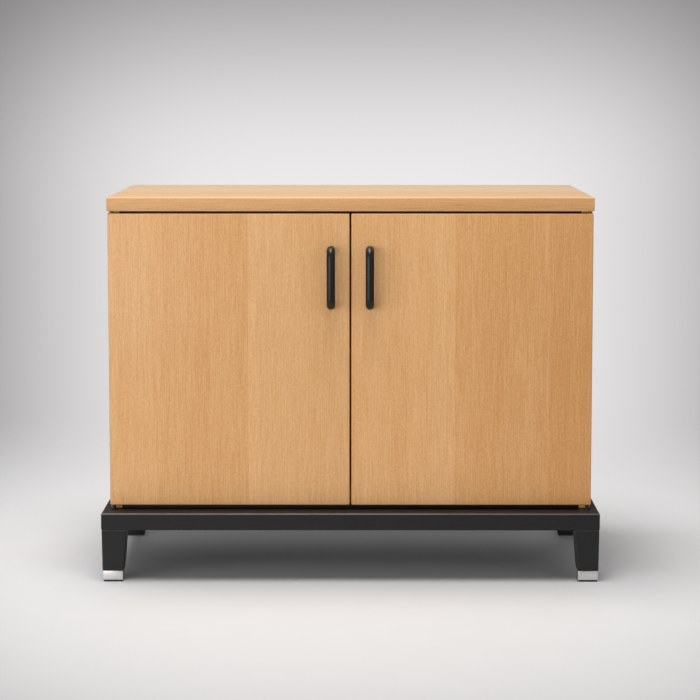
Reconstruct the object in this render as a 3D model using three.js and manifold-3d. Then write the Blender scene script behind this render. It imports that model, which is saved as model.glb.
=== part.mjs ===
// Office credenza: a two-door wooden cabinet with one shelf, standing on a low steel base with four legs.
// Millimetres, +Z up, front towards -Y. The origin lies on the floor under the middle of the overall box.

import * as THREE from 'three';
import { mergeVertices } from 'three/addons/utils/BufferGeometryUtils.js';
import Module from 'manifold-3d';

const wasm = await Module();
wasm.setup();

// Cabinet
const CABINET_WIDTH = 850;
const CABINET_DEPTH = 429;
const CABINET_HEIGHT = 529;
const BOARD = 19;
const BOARD_ARRIS = 0.8;
const BACK_THICKNESS = 8;
const BOTTOM_RAISE = 10;
const TOP_RAIL_DEPTH = 80;
const BEARER_DEPTH = 40;
const BEARER_SETBACK = 1;

// Top panel
const TOP_THICKNESS = 24;
const TOP_SIDE_OVERHANG = 1.5;
const TOP_ARRIS = 2;

// Shelf and its supports
const SHELF_HEIGHT = 236;
const SHELF_SETBACK = 30;
const SHELF_REAR_GAP = 4;
const SHELF_END_GAP = 2;
const SHELF_PIN_RADIUS = 2.5;
const SHELF_PIN_SEATED = 9;
const SHELF_PIN_REACH = 11;
const SHELF_PIN_COLLAR_RADIUS = 4;
const SHELF_PIN_COLLAR = 1.5;
const PIN_ROW_INSET = 64;
const PIN_PITCH = 32;
const PIN_STEPS = 2;

// Doors
const DOOR_THICKNESS = 19;
const DOOR_ARRIS = 2;
const DOOR_TO_CABINET = 2;
const DOOR_TO_TOP = 4;
const DOOR_TO_BASE = 9;
const DOOR_TO_DOOR = 3;

// Pivot hinges, let into the ends of the doors
const PIVOT_INSET = 6;
const PIVOT_RADIUS = 2.5;
const PIVOT_ENGAGE = 9;
const LEAF_LENGTH = 48;
const LEAF_WIDTH = 11;
const LEAF_THICKNESS = 2.5;
const LEAF_SETBACK = 0.6;
const LEAF_SCREW_RADIUS = 1.6;
const LEAF_SCREW_HEAD_RADIUS = 3.2;
const LEAF_SCREW_HEAD = 1.6;
const LEAF_SCREW_LENGTH = 16;
const PIN_FLANGE_RADIUS = 5.5;
const PIN_FLANGE = 1.5;
const PIN_SHOULDER_RADIUS = 3.5;
const PIN_ROOT = 8;
const WASHER_RADIUS = 5.2;
const WASHER_THICKNESS = 1;

// Handles
const HANDLE_DIAMETER = 15;
const HANDLE_CENTRES = 96;
const HANDLE_PROJECTION = 33;
const HANDLE_BEND = 13;
const HANDLE_STEPS = 30;
const HANDLE_FROM_GAP = 32.5;
const HANDLE_FROM_TOP = 112;
const HANDLE_SCREW_RADIUS = 2;
const HANDLE_SCREW_DEPTH = 10;
const HANDLE_SCREW_HEAD_RADIUS = 4.2;
const HANDLE_SCREW_HEAD = 2.4;

// Door stops and catch
const BUMPER_RADIUS = 5;
const BUMPER_FROM_GAP = 40;
const BUMPER_AIR = 0.2;
const CATCH_LENGTH = 52;
const CATCH_DEPTH = 18;
const CATCH_HEIGHT = 13;
const CATCH_ARRIS = 1;
const STRIKE_LENGTH = 16;
const STRIKE_HEIGHT = 11;
const STRIKE_THICKNESS = 1.5;
const STRIKE_FROM_GAP = 3;

// Steel base
const BASE_FRONT_LEDGE = 33;
const BASE_SIDE_LEDGE = 13;
const BASE_DEPTH = 426;
const RAIL_WIDTH = 60;
const RAIL_HEIGHT = 30;
const RAIL_WALL = 2;
const RAIL_CORNER = 2.5;
const LEG_HEIGHT = 72;
const LEG_TOP = 44;
const LEG_FOOT = 37;
const LEG_INSET_TOP = 0.6;
const LEG_INSET_FOOT = 1.6;
const LEG_WALL = 2;
const LEG_CORNER = 2.5;
const FOOT_WIDTH = 35;
const FOOT_HEIGHT = 17;
const FOOT_ARRIS = 1.2;
const FOOT_SPIGOT = 12;
const PAD_WIDTH = 33;
const PAD_HEIGHT = 3;
const PAD_ARRIS = 1;
const PAD_STUD_RADIUS = 4;
const PAD_STUD = 6;

// Clearance between a piece and what it is let into, and how far a cutter runs past a face
const FIT = 0.3;
const PAST = 2;

// Places worked out from the sizes above
const BASE_WIDTH = CABINET_WIDTH + 2 * BASE_SIDE_LEDGE;
const BASE_TOP = PAD_HEIGHT + FOOT_HEIGHT + LEG_HEIGHT + RAIL_HEIGHT;
const RAIL_BOTTOM = BASE_TOP - RAIL_HEIGHT;
const CABINET_TOP = BASE_TOP + CABINET_HEIGHT;
const TOP_DEPTH = CABINET_DEPTH + DOOR_TO_CABINET + DOOR_THICKNESS;
const FRONT_REACH = Math.max(BASE_FRONT_LEDGE, HANDLE_PROJECTION);
const REAR_REACH = Math.max(TOP_DEPTH, BASE_DEPTH - BASE_FRONT_LEDGE);
const DOOR_FRONT = FRONT_REACH - (FRONT_REACH + REAR_REACH) / 2;
const DOOR_MIDDLE = DOOR_FRONT + DOOR_THICKNESS / 2;
const DOOR_BACK = DOOR_FRONT + DOOR_THICKNESS;
const CABINET_FRONT = DOOR_BACK + DOOR_TO_CABINET;
const CABINET_BACK = CABINET_FRONT + CABINET_DEPTH;
const BASE_FRONT = DOOR_FRONT - BASE_FRONT_LEDGE;
const BASE_MIDDLE = BASE_FRONT + BASE_DEPTH / 2;
const INSIDE_WIDTH = CABINET_WIDTH - 2 * BOARD;
const INSIDE_DEPTH = CABINET_DEPTH - BACK_THICKNESS;
const BOTTOM_UNDERSIDE = BASE_TOP + BOTTOM_RAISE;
const DOOR_WIDTH = (CABINET_WIDTH - DOOR_TO_DOOR) / 2;
const DOOR_BOTTOM = BASE_TOP + DOOR_TO_BASE;
const DOOR_TOP = CABINET_TOP - DOOR_TO_TOP;
const DOOR_HEIGHT = DOOR_TOP - DOOR_BOTTOM;
const DOOR_CENTRE_X = (CABINET_WIDTH - DOOR_WIDTH) / 2;
const DOOR_CENTRE_Z = (DOOR_TOP + DOOR_BOTTOM) / 2;
const PIVOT_X = CABINET_WIDTH / 2 - PIVOT_INSET;
const LEAF_X = CABINET_WIDTH / 2 - LEAF_SETBACK - LEAF_LENGTH / 2;
const LEAF_SCREW_X = LEAF_X - LEAF_LENGTH / 4;
const HANDLE_X = DOOR_TO_DOOR / 2 + HANDLE_FROM_GAP;
const HANDLE_Z = DOOR_TOP - HANDLE_FROM_TOP;
const SHELF_UNDERSIDE = BOTTOM_UNDERSIDE + BOARD + SHELF_HEIGHT;
const SHELF_DEPTH = INSIDE_DEPTH - SHELF_SETBACK - SHELF_REAR_GAP;
const SHELF_MIDDLE = CABINET_FRONT + SHELF_SETBACK + SHELF_DEPTH / 2;
const SHELF_PIN_Z = SHELF_UNDERSIDE - SHELF_PIN_RADIUS;
const PIN_ROWS = [CABINET_FRONT + SHELF_SETBACK + PIN_ROW_INSET, CABINET_BACK - BACK_THICKNESS - PIN_ROW_INSET];
const CATCH_Z = CABINET_TOP - BOARD - CATCH_HEIGHT / 2;

// Finishes
const beech = new THREE.MeshStandardMaterial({ color: 0xd9a875, roughness: 0.45, metalness: 0 });
const backing = new THREE.MeshStandardMaterial({ color: 0xcfa273, roughness: 0.6, metalness: 0 });
const blackSteel = new THREE.MeshStandardMaterial({ color: 0x1e1d1f, roughness: 0.35, metalness: 0.3 });
const blackHandle = new THREE.MeshStandardMaterial({ color: 0x121213, roughness: 0.3, metalness: 0.3 });
const satinMetal = new THREE.MeshStandardMaterial({ color: 0xb8b3b0, roughness: 0.3, metalness: 1 });
const rubber = new THREE.MeshStandardMaterial({ color: 0x161617, roughness: 0.8, metalness: 0 });
const brass = new THREE.MeshStandardMaterial({ color: 0xb8924a, roughness: 0.35, metalness: 1 });
const zinc = new THREE.MeshStandardMaterial({ color: 0xb9bcc0, roughness: 0.35, metalness: 1 });
const nylon = new THREE.MeshStandardMaterial({ color: 0xe6e2d8, roughness: 0.5, metalness: 0 });
const darkPlastic = new THREE.MeshStandardMaterial({ color: 0x2a2624, roughness: 0.55, metalness: 0 });

const credenza = new THREE.Group();

function add(name, geometry, material, x, y, z) {
  const mesh = new THREE.Mesh(geometry, material);
  mesh.name = name;
  mesh.position.set(x, y, z);
  credenza.add(mesh);
  return mesh;
}

// Solids for joining and cutting
function solid(geometry) {
  const bare = geometry.clone();
  bare.deleteAttribute('normal');
  bare.deleteAttribute('uv');
  const merged = mergeVertices(bare, 1e-4);
  return new wasm.Manifold(new wasm.Mesh({
    numProp: 3,
    vertProperties: new Float32Array(merged.attributes.position.array),
    triVerts: new Uint32Array(merged.index.array),
  }));
}

function geometryOf(body) {
  const mesh = body.getMesh();
  const geometry = new THREE.BufferGeometry();
  geometry.setAttribute('position', new THREE.BufferAttribute(new Float32Array(mesh.vertProperties), 3));
  geometry.setIndex(new THREE.BufferAttribute(new Uint32Array(mesh.triVerts), 1));
  return geometry;
}

function cut(geometry, ...cutters) {
  return geometryOf(cutters.reduce((body, cutter) => body.subtract(solid(cutter)), solid(geometry)));
}

function join(geometry, ...others) {
  return geometryOf(others.reduce((body, other) => body.add(solid(other)), solid(geometry)));
}

// Basic shapes
function roundedOutline(width, depth, radius) {
  const x = width / 2;
  const y = depth / 2;
  const outline = new THREE.Shape();
  outline.absarc(x - radius, y - radius, radius, 0, Math.PI / 2);
  outline.absarc(radius - x, y - radius, radius, Math.PI / 2, Math.PI);
  outline.absarc(radius - x, radius - y, radius, Math.PI, 1.5 * Math.PI);
  outline.absarc(x - radius, radius - y, radius, 1.5 * Math.PI, 2 * Math.PI);
  return outline;
}

// A block centred on its own middle, with all its edges rounded over
function block(width, depth, height, arris, steps = 1) {
  const corner = 1.5 * arris;
  const geometry = new THREE.ExtrudeGeometry(roundedOutline(width, depth, corner), {
    depth: height - 2 * arris,
    bevelThickness: arris,
    bevelSize: arris,
    bevelOffset: -arris,
    bevelSegments: steps,
    curveSegments: steps,
  });
  return geometry.translate(0, 0, arris - height / 2);
}

function rod(radius, length, sides = 16) {
  return new THREE.CylinderGeometry(radius, radius, length, sides).rotateX(Math.PI / 2);
}

function turned(points, sides = 16) {
  const profile = points.map(([radius, z]) => new THREE.Vector2(radius, z));
  return new THREE.LatheGeometry(profile, sides).rotateX(Math.PI / 2);
}

// A prism between two outlines of as many points, one above the other
function loft(lower, lowerZ, upper, upperZ) {
  const count = lower.length;
  const place = [];
  lower.forEach((p) => place.push(p.x, p.y, lowerZ));
  upper.forEach((p) => place.push(p.x, p.y, upperZ));
  const faces = [];
  for (let i = 0; i < count; i += 1) {
    const next = (i + 1) % count;
    faces.push(i, next, count + next, i, count + next, count + i);
  }
  for (let i = 1; i < count - 1; i += 1) {
    faces.push(0, i + 1, i, count, count + i, count + i + 1);
  }
  const geometry = new THREE.BufferGeometry();
  geometry.setAttribute('position', new THREE.BufferAttribute(new Float32Array(place), 3));
  geometry.setIndex(faces);
  return geometry;
}

function ring(width, radius, centreX, centreY) {
  const points = roundedOutline(width, width, radius).getPoints(2);
  const distinct = points.filter((p, i) => p.distanceTo(points[(i + 1) % points.length]) > 1e-6);
  return distinct.map((p) => new THREE.Vector2(p.x + centreX, p.y + centreY));
}

const SIDES = [{ name: 'left', hand: -1 }, { name: 'right', hand: 1 }];

// Side panels, drilled on the inside for the shelf supports
function sidePanel(hand) {
  const panelZ = BASE_TOP + CABINET_HEIGHT / 2;
  const panelY = (CABINET_FRONT + CABINET_BACK) / 2;
  const depth = SHELF_PIN_SEATED + FIT;
  const holes = [];
  for (const row of PIN_ROWS) {
    for (let step = -PIN_STEPS; step <= PIN_STEPS; step += 1) {
      const hole = rod(SHELF_PIN_RADIUS + FIT, depth + PAST, 12).rotateY(Math.PI / 2);
      const x = -hand * (BOARD / 2 - depth / 2 + PAST / 2);
      holes.push(hole.translate(x, row - panelY, SHELF_PIN_Z + step * PIN_PITCH - panelZ));
    }
  }
  const panel = cut(block(BOARD, CABINET_DEPTH, CABINET_HEIGHT, BOARD_ARRIS), ...holes);
  return { panel, panelY, panelZ };
}

for (const { name, hand } of SIDES) {
  const { panel, panelY, panelZ } = sidePanel(hand);
  add(`side_panel_${name}`, panel, beech, hand * (CABINET_WIDTH - BOARD) / 2, panelY, panelZ);
}

// Bottom, back and the two rails that tie the sides together under the top
const bottomY = CABINET_FRONT + INSIDE_DEPTH / 2;
const bottom = block(INSIDE_WIDTH, INSIDE_DEPTH, BOARD, BOARD_ARRIS);
add('bottom_panel', bottom, beech, 0, bottomY, BOTTOM_UNDERSIDE + BOARD / 2);

const back = new THREE.BoxGeometry(INSIDE_WIDTH, BACK_THICKNESS, CABINET_HEIGHT);
add('back_panel', back, backing, 0, CABINET_BACK - BACK_THICKNESS / 2, BASE_TOP + CABINET_HEIGHT / 2);

const RAIL_PLACES = [
  { name: 'front', y: CABINET_FRONT + TOP_RAIL_DEPTH / 2 },
  { name: 'rear', y: CABINET_BACK - BACK_THICKNESS - TOP_RAIL_DEPTH / 2 },
];
for (const { name, y } of RAIL_PLACES) {
  const rail = block(INSIDE_WIDTH, TOP_RAIL_DEPTH, BOARD, BOARD_ARRIS);
  add(`top_rail_${name}`, rail, beech, 0, y, CABINET_TOP - BOARD / 2);
}

// Black strip that carries the front of the bottom on the base and closes the gap below it
const bearer = block(INSIDE_WIDTH, BEARER_DEPTH, BOTTOM_RAISE, BOARD_ARRIS);
const bearerY = CABINET_FRONT + BEARER_SETBACK + BEARER_DEPTH / 2;
add('bearer', bearer, darkPlastic, 0, bearerY, BASE_TOP + BOTTOM_RAISE / 2);

// Hinge leaf: a brass strip with one countersunk screw hole, flat side down
function leafBlank(grow = 0) {
  const outline = roundedOutline(LEAF_LENGTH + 2 * grow, LEAF_WIDTH + 2 * grow, LEAF_WIDTH / 4 + grow);
  return new THREE.ExtrudeGeometry(outline, { depth: LEAF_THICKNESS, bevelEnabled: false, curveSegments: 3 });
}

function screwHole(x) {
  const shaft = LEAF_SCREW_RADIUS + FIT;
  const head = LEAF_SCREW_HEAD_RADIUS + FIT;
  const sink = LEAF_SCREW_HEAD + FIT;
  const hole = turned([
    [0, -PAST],
    [shaft, -PAST],
    [shaft, LEAF_THICKNESS - sink],
    [head, LEAF_THICKNESS],
    [head, LEAF_THICKNESS + PAST],
    [0, LEAF_THICKNESS + PAST],
  ]);
  return hole.translate(x, 0, 0);
}

function leafScrew() {
  const tip = LEAF_THICKNESS - LEAF_SCREW_LENGTH;
  return turned([
    [0, tip],
    [LEAF_SCREW_RADIUS, tip + 2 * LEAF_SCREW_RADIUS],
    [LEAF_SCREW_RADIUS, LEAF_THICKNESS - LEAF_SCREW_HEAD],
    [LEAF_SCREW_HEAD_RADIUS, LEAF_THICKNESS],
    [0, LEAF_THICKNESS],
  ]);
}

// Room for a leaf in a wooden edge: a slot open at the end of the board, and the screw's pilot hole.
// It is drawn as the leaf is, with the edge of the board at the leaf's upper face.
function leafSlot(hand) {
  const depth = LEAF_THICKNESS + FIT;
  const length = LEAF_LENGTH + FIT + LEAF_SETBACK + PAST;
  const slot = new THREE.BoxGeometry(length, LEAF_WIDTH + 2 * FIT, depth + PAST);
  slot.translate(hand * (length / 2 - LEAF_LENGTH / 2 - FIT), 0, LEAF_THICKNESS - depth / 2 + PAST / 2);
  const pilotDepth = LEAF_SCREW_LENGTH + FIT;
  const pilot = rod(LEAF_SCREW_RADIUS + FIT, pilotDepth + PAST, 12);
  pilot.translate(hand * (LEAF_SCREW_X - LEAF_X), 0, LEAF_THICKNESS - pilotDepth / 2 + PAST / 2);
  return [slot, pilot];
}

const pivotFromLeaf = PIVOT_X - LEAF_X;
const screwFromLeaf = LEAF_SCREW_X - LEAF_X;

function upperLeaf(hand) {
  const length = LEAF_THICKNESS + DOOR_TO_TOP + PIVOT_ENGAGE;
  const pin = rod(PIVOT_RADIUS, length).translate(hand * pivotFromLeaf, 0, length / 2);
  return join(cut(leafBlank(), screwHole(hand * screwFromLeaf)), pin);
}

function socketLeaf(hand) {
  const eye = rod(PIVOT_RADIUS + FIT, LEAF_THICKNESS + 2 * PAST);
  eye.translate(hand * pivotFromLeaf, 0, LEAF_THICKNESS / 2);
  return cut(leafBlank(), eye, screwHole(hand * screwFromLeaf));
}

// Top panel, with the hinge sockets let into its underside
const topCutters = [];
for (const { hand } of SIDES) {
  const engage = PIVOT_ENGAGE + FIT;
  const bore = rod(PIVOT_RADIUS + 2 * FIT, engage + PAST);
  bore.translate(hand * PIVOT_X, DOOR_MIDDLE, CABINET_TOP + engage / 2 - PAST / 2);
  const room = leafSlot(hand).map((cutter) => {
    return cutter.rotateX(Math.PI).translate(hand * LEAF_X, DOOR_MIDDLE, CABINET_TOP + LEAF_THICKNESS);
  });
  topCutters.push(bore, ...room);
}
const topY = DOOR_FRONT + TOP_DEPTH / 2;
const topZ = CABINET_TOP + TOP_THICKNESS / 2;
const topBlank = block(CABINET_WIDTH + 2 * TOP_SIDE_OVERHANG, TOP_DEPTH, TOP_THICKNESS, TOP_ARRIS, 2);
const topPanel = cut(topBlank.translate(0, topY, topZ), ...topCutters).translate(0, -topY, -topZ);
add('top_panel', topPanel, beech, 0, topY, topZ);

for (const { name, hand } of SIDES) {
  const socket = socketLeaf(hand).rotateX(Math.PI);
  add(`hinge_socket_upper_${name}`, socket, brass, hand * LEAF_X, DOOR_MIDDLE, CABINET_TOP + LEAF_THICKNESS);
  const screw = leafScrew().rotateX(Math.PI);
  const screwZ = CABINET_TOP + LEAF_THICKNESS;
  add(`hinge_screw_top_${name}`, screw, zinc, hand * LEAF_SCREW_X, DOOR_MIDDLE, screwZ);
}

// Shelf on four turned supports
const shelf = block(INSIDE_WIDTH - 2 * SHELF_END_GAP, SHELF_DEPTH, BOARD, BOARD_ARRIS);
add('shelf', shelf, beech, 0, SHELF_MIDDLE, SHELF_UNDERSIDE + BOARD / 2);

const SHELF_PIN_PROFILE = [
  [0, -SHELF_PIN_SEATED],
  [SHELF_PIN_RADIUS, -SHELF_PIN_SEATED],
  [SHELF_PIN_RADIUS, 0],
  [SHELF_PIN_COLLAR_RADIUS, 0],
  [SHELF_PIN_COLLAR_RADIUS, SHELF_PIN_COLLAR],
  [SHELF_PIN_RADIUS, SHELF_PIN_COLLAR],
  [SHELF_PIN_RADIUS, SHELF_PIN_REACH],
  [0, SHELF_PIN_REACH],
];
for (const { name, hand } of SIDES) {
  PIN_ROWS.forEach((row, i) => {
    const pin = turned(SHELF_PIN_PROFILE).rotateY(-hand * Math.PI / 2);
    add(`shelf_pin_${i === 0 ? 'front' : 'rear'}_${name}`, pin, zinc, hand * INSIDE_WIDTH / 2, row, SHELF_PIN_Z);
  });
}

// Doors: slotted for the hinge leaves, bored for the lower pivot and drilled for the handle
const HANDLE_SCREW_PLACES = [
  { name: 'upper', z: HANDLE_Z + HANDLE_CENTRES / 2 },
  { name: 'lower', z: HANDLE_Z - HANDLE_CENTRES / 2 },
];

function door(hand) {
  const middleX = hand * DOOR_CENTRE_X;
  const upper = leafSlot(hand).map((cutter) => {
    return cutter.translate(hand * LEAF_X, DOOR_MIDDLE, DOOR_TOP - LEAF_THICKNESS);
  });
  const lower = leafSlot(hand).map((cutter) => {
    return cutter.rotateX(Math.PI).translate(hand * LEAF_X, DOOR_MIDDLE, DOOR_BOTTOM + LEAF_THICKNESS);
  });
  const engage = PIVOT_ENGAGE + FIT;
  const bore = rod(PIVOT_RADIUS + 2 * FIT, engage + PAST);
  bore.translate(hand * PIVOT_X, DOOR_MIDDLE, DOOR_BOTTOM + engage / 2 - PAST / 2);
  const drilled = HANDLE_SCREW_PLACES.map(({ z }) => {
    const hole = rod(HANDLE_SCREW_RADIUS + FIT, DOOR_THICKNESS + 2 * PAST).rotateX(Math.PI / 2);
    return hole.translate(hand * HANDLE_X, DOOR_MIDDLE, z);
  });
  const board = block(DOOR_WIDTH, DOOR_THICKNESS, DOOR_HEIGHT, DOOR_ARRIS, 2);
  board.translate(middleX, DOOR_MIDDLE, DOOR_CENTRE_Z);
  const made = cut(board, ...upper, ...lower, bore, ...drilled);
  return made.translate(-middleX, -DOOR_MIDDLE, -DOOR_CENTRE_Z);
}

for (const { name, hand } of SIDES) {
  add(`door_${name}`, door(hand), beech, hand * DOOR_CENTRE_X, DOOR_MIDDLE, DOOR_CENTRE_Z);
}

// Pivot hinges: a leaf with a pin in the top of each door, a leaf with an eye in the bottom,
// and a shouldered pin in the base, which carries the door on a washer
const SHOULDER = DOOR_TO_BASE - WASHER_THICKNESS;
const LOWER_PIN_PROFILE = [
  [0, -PIN_ROOT],
  [PIVOT_RADIUS, -PIN_ROOT],
  [PIVOT_RADIUS, 0],
  [PIN_FLANGE_RADIUS, 0],
  [PIN_FLANGE_RADIUS, PIN_FLANGE],
  [PIN_SHOULDER_RADIUS, PIN_FLANGE],
  [PIN_SHOULDER_RADIUS, SHOULDER],
  [PIVOT_RADIUS, SHOULDER],
  [PIVOT_RADIUS, DOOR_TO_BASE + PIVOT_ENGAGE],
  [0, DOOR_TO_BASE + PIVOT_ENGAGE],
];
for (const { name, hand } of SIDES) {
  const leafX = hand * LEAF_X;
  const screwX = hand * LEAF_SCREW_X;
  const upperZ = DOOR_TOP - LEAF_THICKNESS;
  const lowerZ = DOOR_BOTTOM + LEAF_THICKNESS;
  add(`hinge_leaf_upper_${name}`, upperLeaf(hand), brass, leafX, DOOR_MIDDLE, upperZ);
  add(`hinge_screw_upper_${name}`, leafScrew(), zinc, screwX, DOOR_MIDDLE, upperZ);
  const lowerLeaf = socketLeaf(hand).rotateX(Math.PI);
  add(`hinge_leaf_lower_${name}`, lowerLeaf, brass, leafX, DOOR_MIDDLE, lowerZ);
  add(`hinge_screw_lower_${name}`, leafScrew().rotateX(Math.PI), zinc, screwX, DOOR_MIDDLE, lowerZ);
  add(`hinge_pin_lower_${name}`, turned(LOWER_PIN_PROFILE), brass, hand * PIVOT_X, DOOR_MIDDLE, BASE_TOP);
  const washer = turned([
    [PIVOT_RADIUS + FIT, 0],
    [WASHER_RADIUS, 0],
    [WASHER_RADIUS, WASHER_THICKNESS],
    [PIVOT_RADIUS + FIT, WASHER_THICKNESS],
    [PIVOT_RADIUS + FIT, 0],
  ]);
  add(`hinge_washer_${name}`, washer, nylon, hand * PIVOT_X, DOOR_MIDDLE, DOOR_BOTTOM - WASHER_THICKNESS);
}

// Handles: round bar bent to a bow, drilled at both feet for screws that come through the door
function handle() {
  const out = HANDLE_DIAMETER / 2 - HANDLE_PROJECTION;
  const half = HANDLE_CENTRES / 2;
  const bow = new THREE.CurvePath();
  const start = new THREE.Vector3(0, 0, -half);
  const lowerA = new THREE.Vector3(0, out + HANDLE_BEND, -half);
  const lowerB = new THREE.Vector3(0, out, HANDLE_BEND - half);
  const upperA = new THREE.Vector3(0, out, half - HANDLE_BEND);
  const upperB = new THREE.Vector3(0, out + HANDLE_BEND, half);
  const end = new THREE.Vector3(0, 0, half);
  const pull = HANDLE_BEND * 0.5523;
  const bend = (from, corner, to) => {
    const near = from.clone().add(corner.clone().sub(from).setLength(pull));
    const far = to.clone().add(corner.clone().sub(to).setLength(pull));
    return new THREE.CubicBezierCurve3(from, near, far, to);
  };
  bow.add(new THREE.LineCurve3(start, lowerA));
  bow.add(bend(lowerA, new THREE.Vector3(0, out, -half), lowerB));
  bow.add(new THREE.LineCurve3(lowerB, upperA));
  bow.add(bend(upperA, new THREE.Vector3(0, out, half), upperB));
  bow.add(new THREE.LineCurve3(upperB, end));
  const section = new THREE.Shape().absarc(0, 0, HANDLE_DIAMETER / 2, 0, 2 * Math.PI);
  const bar = new THREE.ExtrudeGeometry(section, { extrudePath: bow, steps: HANDLE_STEPS, curveSegments: 8 });
  const depth = HANDLE_SCREW_DEPTH + FIT;
  const holes = [half, -half].map((z) => {
    const hole = rod(HANDLE_SCREW_RADIUS + FIT, depth + PAST).rotateX(Math.PI / 2);
    return hole.translate(0, PAST / 2 - depth / 2, z);
  });
  return cut(bar, ...holes);
}

const HANDLE_SCREW_PROFILE = [
  [0, -HANDLE_SCREW_HEAD],
  [HANDLE_SCREW_HEAD_RADIUS * 0.6, -HANDLE_SCREW_HEAD],
  [HANDLE_SCREW_HEAD_RADIUS, -HANDLE_SCREW_HEAD * 0.4],
  [HANDLE_SCREW_HEAD_RADIUS, 0],
  [HANDLE_SCREW_RADIUS, 0],
  [HANDLE_SCREW_RADIUS, DOOR_THICKNESS + HANDLE_SCREW_DEPTH],
  [0, DOOR_THICKNESS + HANDLE_SCREW_DEPTH],
];
for (const { name, hand } of SIDES) {
  add(`handle_${name}`, handle(), blackHandle, hand * HANDLE_X, DOOR_FRONT, HANDLE_Z);
  for (const place of HANDLE_SCREW_PLACES) {
    const screw = turned(HANDLE_SCREW_PROFILE).rotateX(Math.PI / 2);
    add(`handle_screw_${place.name}_${name}`, screw, zinc, hand * HANDLE_X, DOOR_BACK, place.z);
  }
}

// Soft stops on the backs of the doors, and a double magnetic catch under the front rail
const bumperThickness = DOOR_TO_CABINET - BUMPER_AIR;
const BUMPER_PLACES = [
  { name: 'upper', z: CABINET_TOP - BOARD / 2 },
  { name: 'lower', z: BOTTOM_UNDERSIDE + BOARD / 2 },
];
for (const { name, hand } of SIDES) {
  for (const place of BUMPER_PLACES) {
    const bumper = turned([
      [0, 0],
      [BUMPER_RADIUS, 0],
      [BUMPER_RADIUS, bumperThickness * 0.6],
      [BUMPER_RADIUS * 0.7, bumperThickness],
      [0, bumperThickness],
    ]).rotateX(-Math.PI / 2);
    const x = hand * (DOOR_TO_DOOR / 2 + BUMPER_FROM_GAP);
    add(`bumper_${place.name}_${name}`, bumper, rubber, x, DOOR_BACK, place.z);
  }
  const strike = block(STRIKE_LENGTH, STRIKE_THICKNESS, STRIKE_HEIGHT, STRIKE_THICKNESS / 5);
  const strikeX = hand * (DOOR_TO_DOOR / 2 + STRIKE_FROM_GAP + STRIKE_LENGTH / 2);
  add(`catch_strike_${name}`, strike, zinc, strikeX, DOOR_BACK + STRIKE_THICKNESS / 2, CATCH_Z);
}
const catchBody = block(CATCH_LENGTH, CATCH_DEPTH, CATCH_HEIGHT, CATCH_ARRIS);
add('magnetic_catch', catchBody, darkPlastic, 0, CABINET_FRONT + CATCH_DEPTH / 2, CATCH_Z);

// Base rails: box section with mitred corners, a hair apart where the weld runs
function baseRail(length, drills) {
  const outer = roundedOutline(RAIL_WIDTH, RAIL_HEIGHT, RAIL_CORNER);
  const inner = RAIL_CORNER / 2;
  outer.holes.push(roundedOutline(RAIL_WIDTH - 2 * RAIL_WALL, RAIL_HEIGHT - 2 * RAIL_WALL, inner));
  const section = new THREE.ExtrudeGeometry(outer, { depth: length, bevelEnabled: false, curveSegments: 2 });
  const tube = section.rotateX(Math.PI / 2).rotateZ(Math.PI / 2).translate(-length / 2, 0, 0);
  const reach = length / 2 - FIT / 2;
  const mitre = new THREE.Shape();
  mitre.moveTo(-reach, -RAIL_WIDTH / 2);
  mitre.lineTo(reach, -RAIL_WIDTH / 2);
  mitre.lineTo(reach - RAIL_WIDTH, RAIL_WIDTH / 2);
  mitre.lineTo(RAIL_WIDTH - reach, RAIL_WIDTH / 2);
  const keep = new THREE.ExtrudeGeometry(mitre, { depth: RAIL_HEIGHT, bevelEnabled: false });
  keep.translate(0, 0, -RAIL_HEIGHT / 2);
  const trimmed = geometryOf(solid(tube).intersect(solid(keep)));
  return drills.length ? cut(trimmed, ...drills) : trimmed;
}

const BASE_RAILS = [
  { name: 'front', length: BASE_WIDTH, turn: 0, x: 0, y: BASE_FRONT + RAIL_WIDTH / 2 },
  { name: 'rear', length: BASE_WIDTH, turn: Math.PI, x: 0, y: BASE_FRONT + BASE_DEPTH - RAIL_WIDTH / 2 },
  { name: 'left', length: BASE_DEPTH, turn: -Math.PI / 2, x: RAIL_WIDTH / 2 - BASE_WIDTH / 2, y: BASE_MIDDLE },
  { name: 'right', length: BASE_DEPTH, turn: Math.PI / 2, x: BASE_WIDTH / 2 - RAIL_WIDTH / 2, y: BASE_MIDDLE },
];
for (const { name, length, turn, x, y } of BASE_RAILS) {
  const z = BASE_TOP - RAIL_HEIGHT / 2;
  const drills = SIDES.map(({ hand }) => {
    const drill = rod(PIVOT_RADIUS + FIT, RAIL_WALL + 2 * PAST);
    drill.translate(hand * PIVOT_X - x, DOOR_MIDDLE - y, BASE_TOP - RAIL_WALL / 2 - z);
    return drill.rotateZ(-turn);
  });
  add(`base_rail_${name}`, baseRail(length, drills), blackSteel, x, y, z).rotation.z = turn;
}

// Legs: tapered tubes under the corners, each with a metal foot and a pad
const CORNERS = [
  { name: 'front_left', sideX: -1, sideY: -1 },
  { name: 'front_right', sideX: 1, sideY: -1 },
  { name: 'rear_left', sideX: -1, sideY: 1 },
  { name: 'rear_right', sideX: 1, sideY: 1 },
];
const legFootCentre = LEG_INSET_FOOT + LEG_FOOT / 2;
const legShift = LEG_INSET_TOP + LEG_TOP / 2 - legFootCentre;

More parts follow.
